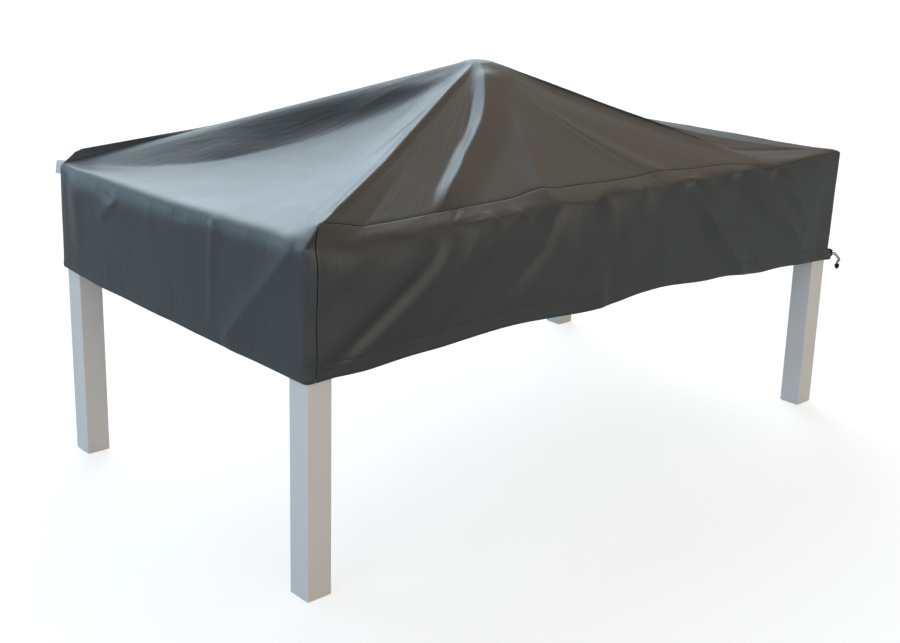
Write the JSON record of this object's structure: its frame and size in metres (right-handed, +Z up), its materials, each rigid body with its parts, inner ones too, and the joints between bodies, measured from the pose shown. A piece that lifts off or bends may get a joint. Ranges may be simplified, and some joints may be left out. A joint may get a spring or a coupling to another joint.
{
  "type": "fitted patio furniture cover on a garden table",
  "caption": "Fitted weather cover draped over a rectangular garden table and propped to a peak in the middle, with sewn side panels, a drawcord hem, cord lock and blank label.",
  "frame": {"origin": "on the floor under the middle of the whole; the table's own centre is 20 mm towards -X of it", "axes": "+X along the table's long side, towards the end with the cord lock; -Y towards the long front side; +Z up"},
  "size_m": [1.8557, 1.0698, 0.99],
  "materials": {
    "cover_cloth": "dark grey polyester with a coated, slightly glossy face",
    "table_paint": "white powder coat, satin",
    "cord_plastic": "black moulded plastic, satin",
    "drawcord": "black round braided cord",
    "label": "white woven label, blank"
  },
  "bodies": {
    "root": {"cover_main_panel": "cover_cloth", "cover_front_panel": "cover_cloth", "cover_back_panel": "cover_cloth", "corner_label": "label", "cord_lock": "cord_plastic", "cord_bell": "cord_plastic", "drawcord_inner": "drawcord", "drawcord_outer": "drawcord", "peak_prop": "table_paint", "table_top": "table_paint", "leg_front_left": "table_paint", "leg_front_right": "table_paint", "leg_back_left": "table_paint", "leg_back_right": "table_paint", "rail_front": "table_paint", "rail_back": "table_paint", "rail_left": "table_paint", "rail_right": "table_paint"}
  },
  "joints": []
}
